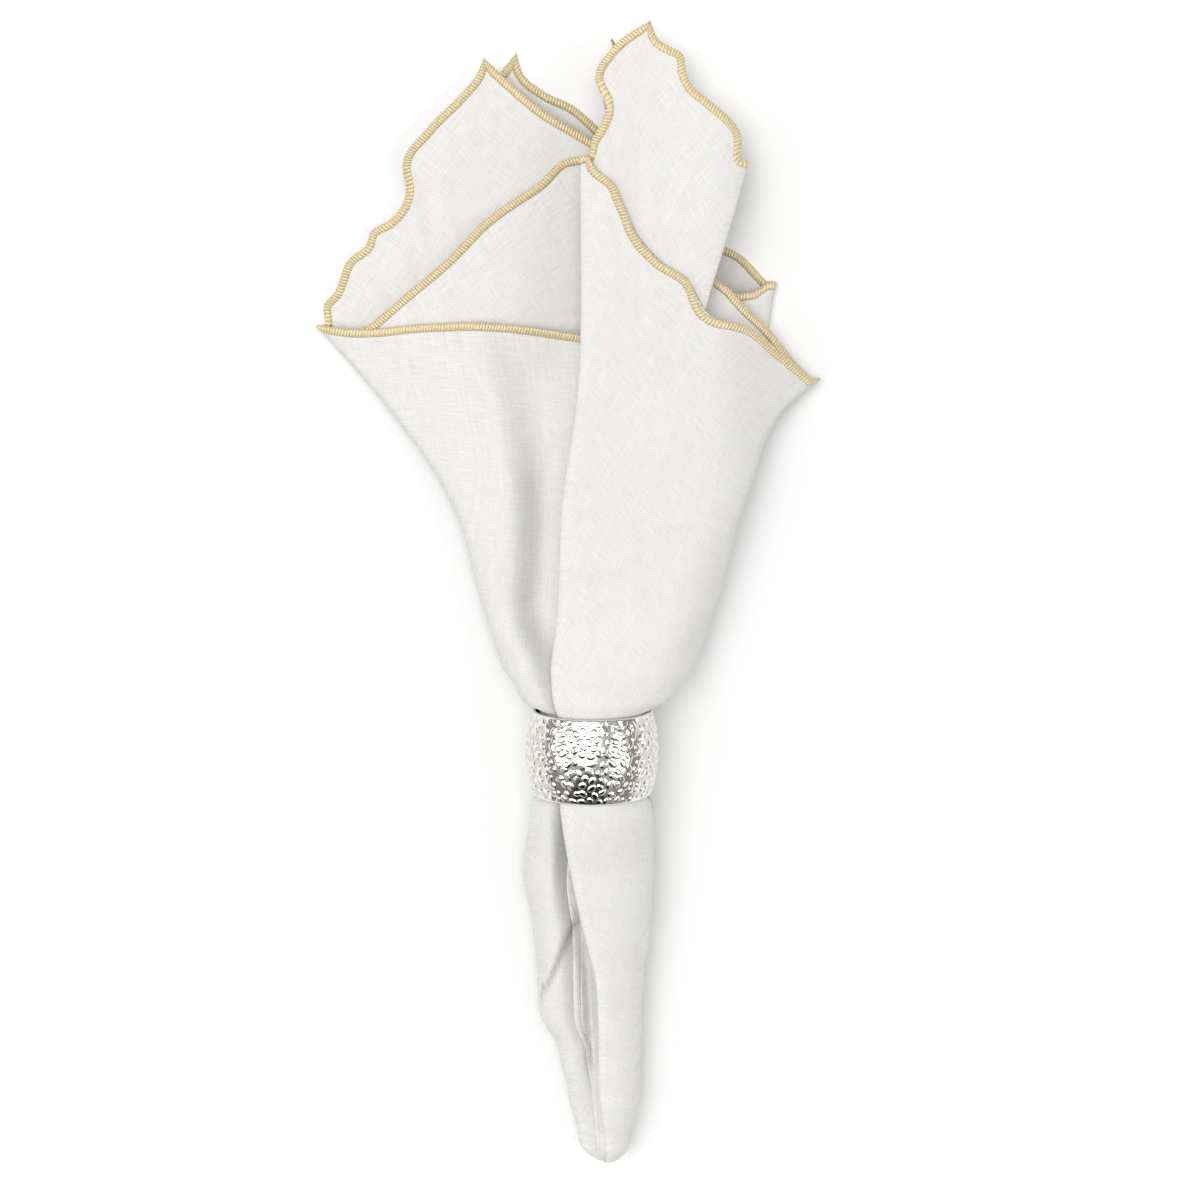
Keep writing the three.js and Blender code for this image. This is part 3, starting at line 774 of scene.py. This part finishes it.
class Tree:
    """The shader nodes of a material or a world, which feed its last node."""

    def __init__(self, owner, last):
        owner.use_nodes = True
        self.owner = owner
        self.nodes, self.links = owner.node_tree.nodes, owner.node_tree.links
        self.last = self.nodes[last]

    def add(self, kind, settings=None, inputs=None, output=0):
        """One output of a new node, with its settings, and values or Wires for its inputs."""
        node = self.nodes.new(kind)
        for name, value in (settings or {}).items():
            setattr(node, name, value)
        for name, value in (inputs or {}).items():
            self.join(value, node.inputs[name])
        return Wire(self, node.outputs[output])

    def join(self, value, socket):
        """Gives a socket a Wire or a constant."""
        if isinstance(value, Wire):
            self.links.new(value.socket, socket)
        else:
            socket.default_value = value

    def feed(self, **inputs):
        """Gives the last node Wires or constants, by the names of its inputs with _ for a space."""
        for name, value in inputs.items():
            self.join(value, self.last.inputs[name.replace("_", " ")])

    def attribute(self, name, output="Vector"):
        """An attribute stored on the piece."""
        return self.add("ShaderNodeAttribute", {"attribute_name": name}, output=output)

    def place(self, output="Object"):
        """Where a point is, in the piece's own frame, or the way to it in a world."""
        return self.add("ShaderNodeTexCoord", output=output)

    def parts(self, vector):
        """The three numbers of a vector."""
        first = self.add("ShaderNodeSeparateXYZ", inputs={0: vector})
        return [Wire(self, socket) for socket in first.socket.node.outputs]

    def vector(self, x, y, z=0.0):
        """A vector from three numbers."""
        return self.add("ShaderNodeCombineXYZ", inputs={0: x, 1: y, 2: z})

    def noise(self, vector, scale, detail=2.0):
        """Soft noise about 0.5."""
        inputs = {"Vector": vector, "Scale": scale, "Detail": detail}
        return self.add("ShaderNodeTexNoise", None, inputs, "Fac")

    def blend(self, factor, a, b):
        """A colour between two, each a Wire or three numbers."""
        first, second = (colour if isinstance(colour, Wire) else (*colour, 1) for colour in (a, b))
        return self.add("ShaderNodeMix", {"data_type": "RGBA"}, {0: factor, 6: first, 7: second}, 2)

    def bump(self, height, strength, distance):
        """A normal that follows a height."""
        inputs = {"Height": height, "Strength": strength, "Distance": distance}
        return self.add("ShaderNodeBump", None, inputs)


def material_tree(name, colour, **constants):
    """The Tree of a new material, with its plain colour and the constants of its surface."""
    tree = Tree(bpy.data.materials.new(name), "Principled BSDF")
    tree.owner.diffuse_color = (*colour, 1)
    tree.feed(Base_Color=(*colour, 1), **constants)
    return tree


def weigh(parts, shares):
    """Sum of the parts that have a share, each times its share."""
    first, *others = (parts[name] * share for name, share in shares.items())
    return sum(others, first)


def linen_material():
    """White linen: a plain weave of two crossed waves, with slubs, which are noise drawn out on a thread."""
    tree = material_tree("white_linen", LINEN_LIGHT, Roughness=0.85, Sheen_Weight=0.25, Sheen_Roughness=0.5)
    u, v, _ = tree.parts(tree.attribute("flat"))
    turn = 2 * math.pi / THREAD_PITCH
    across, along = SLUB_NOISE
    warp = tree.noise(tree.vector(u * across, v * along), 1.0, 1.0)
    weft = tree.noise(tree.vector(u * along, v * across, WEFT_OFFSET), 1.0, 1.0)
    parts = {
        "slubs": warp + weft - 1.0,
        "grain": tree.noise(tree.vector(u, v), GRAIN_NOISE, 1.0) - 0.5,
        "weave": (u * turn).sine() * (v * turn).sine(),
        "clouds": tree.noise(tree.vector(u, v), CLOUD_NOISE, 1.0) - 0.5,
    }
    shade = weigh(parts, LINEN_SHADE) + 0.5
    relief = tree.bump(weigh(parts, LINEN_RELIEF), *LINEN_BUMP)
    tree.feed(Base_Color=tree.blend(shade, LINEN_DARK, LINEN_LIGHT), Normal=relief)
    return tree.owner


def gold_material():
    """Metallic thread: ribs across the border where each stitch wraps it, painted into its colour as
    highlight and shade, with soft spots.
    """
    tree = material_tree("gold_thread", GOLD_LIGHT, Roughness=0.5, Metallic=0.35, Sheen_Weight=0.2)
    along, inset, _ = tree.parts(tree.attribute("flat"))
    slant = along + inset * STITCH_SLANT
    ribs = (slant * (2 * math.pi / STITCH_PITCH)).sine() * 0.5 + 0.5
    spots = tree.noise(tree.vector(along, inset), SPOT_NOISE)
    # The ribs paint a highlight on each stitch and shade between stitches into the colour; the spots are
    # uneven tone.
    shade = weigh({"ribs": ribs, "spots": spots - 0.5}, GOLD_TONE_AND_PAINTED_LIGHT)
    relief = tree.bump(weigh({"ribs": ribs, "spots": spots}, GOLD_RELIEF), *GOLD_BUMP)
    tree.feed(Base_Color=tree.blend(shade, GOLD_DARK, GOLD_LIGHT), Normal=relief)
    return tree.owner


def ring_material():
    """Polished silver plate, duller in the grooves between hammer marks, with shade painted a little darker
    there.
    """
    tree = material_tree("polished_silver", SILVER_LIGHT, Metallic=1.0)
    grooves = tree.attribute("groove", "Fac")
    smudges = tree.noise(tree.place(), SMUDGE_NOISE)
    tree.feed(
        # Shade painted into the grooves between hammer marks darkens the colour there.
        Base_Color=tree.blend(grooves * GROOVE_PAINTED_SHADE, SILVER_LIGHT, SILVER_PAINTED_SHADE),
        Roughness=weigh({"grooves": grooves, "smudges": smudges}, SILVER_ROUGHNESS) + PLAIN_ROUGHNESS,
        Normal=tree.bump(tree.noise(tree.place(), SCRATCH_NOISE), *SILVER_BUMP),
    )
    return tree.owner


def floor_material():
    """White paper, faintly mottled."""
    tree = material_tree("white_paper", PAPER, Roughness=0.9)
    mottle = tree.noise(tree.place(), MOTTLE_NOISE)
    tree.feed(Base_Color=tree.blend(mottle, PAPER_DARK, PAPER_LIGHT))
    return tree.owner


def dress(piece, material, slot_name, *nodes):
    """Gives a piece its material and its body, and hides the solids it stands for; slot_name is not used."""
    piece.data.materials.clear()
    piece.data.materials.append(material)
    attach(piece, "root")
    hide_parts(*nodes)


def make_stage():
    """The pale floor that everything lies on."""
    corners = np.array([(-1, -1, 0), (1, -1, 0), (1, 1, 0), (-1, 1, 0)]) * FLOOR_HALF
    floor = mesh_object("floor", corners, np.arange(len(corners))[None])
    floor.data.materials.append(floor_material())


def make_lights():
    """Soft studio light from far away: a wide lamp over the napkin and a weaker one on each side."""
    for name, place, spread, power in LAMPS:
        lamp = add_object(name, bpy.data.lights.new(name, "SUN"))
        lamp.data.angle = math.radians(spread)
        lamp.data.energy = power
        lamp.location = Vector(place) * MM
        lamp.rotation_euler = (Vector(LAMP_TARGET) - Vector(place)).to_track_quat("-Z", "Y").to_euler()


def make_room():
    """The bright room round the scene: greys by height, and a dark spot, which the ring reflects.

    A way is in the spot by its distance from the spot's middle, with x, y and z each over its own reach.
    """
    tree = Tree(bpy.data.worlds.new("room"), "Background")
    way = tree.place("Generated")
    band = tree.add("ShaderNodeValToRGB", inputs={0: tree.parts(way)[2]})
    ramp = band.socket.node.color_ramp.elements
    for element, (place, colour) in zip(ramp, (ROOM_BAND[0], ROOM_BAND[-1])):
        element.position, element.color = place, colour
    for place, colour in ROOM_BAND[1:-1]:
        ramp.new(place).color = colour
    away = tree.add("ShaderNodeVectorMath", {"operation": "SUBTRACT"}, {0: way, 1: DARK_WAY})
    scaled = tree.add("ShaderNodeVectorMath", {"operation": "DIVIDE"}, {0: away, 1: DARK_REACH})
    distance = tree.add("ShaderNodeVectorMath", {"operation": "LENGTH"}, {0: scaled}, "Value")
    settings = {"interpolation_type": "SMOOTHSTEP"}
    outside = tree.add("ShaderNodeMapRange", settings, dict(enumerate((distance, *DARK_EDGE, 0, 1))))
    tree.feed(Color=tree.blend(outside, DARK_COLOUR, band), Strength=ROOM_LIGHT)
    bpy.context.scene.world = tree.owner


def set_colours():
    """Plain display of the colours, so that white stays white."""
    bpy.context.scene.view_settings.view_transform = "Standard"


def make_camera():
    """The camera above the napkin, tipped towards the fan as in the photograph."""
    camera = add_object("camera", bpy.data.cameras.new("camera"))
    tip = math.radians(CAMERA_TIP)
    target = np.array(CAMERA_TARGET, float)
    camera.location = (target + CAMERA_DISTANCE * np.array([0, math.sin(tip), math.cos(tip)])) * MM
    camera.rotation_euler = (-tip, 0, 0)
    camera.data.sensor_width = SENSOR_WIDTH
    camera.data.lens = SENSOR_WIDTH * CAMERA_DISTANCE / FRAME_WIDTH
    camera.data.clip_start = NEAREST_SEEN
    bpy.context.scene.camera = camera


set_colours()
make_camera()
make_lights()
make_room()
make_stage()
napkin = make_napkin()
gold_edge = make_gold_edge()
ring = make_ring()
dress(napkin, linen_material(), "napkin", "napkin")
dress(gold_edge, gold_material(), "gold_edge", "gold_edge")
dress(ring, ring_material(), "napkin_ring", "napkin_ring")
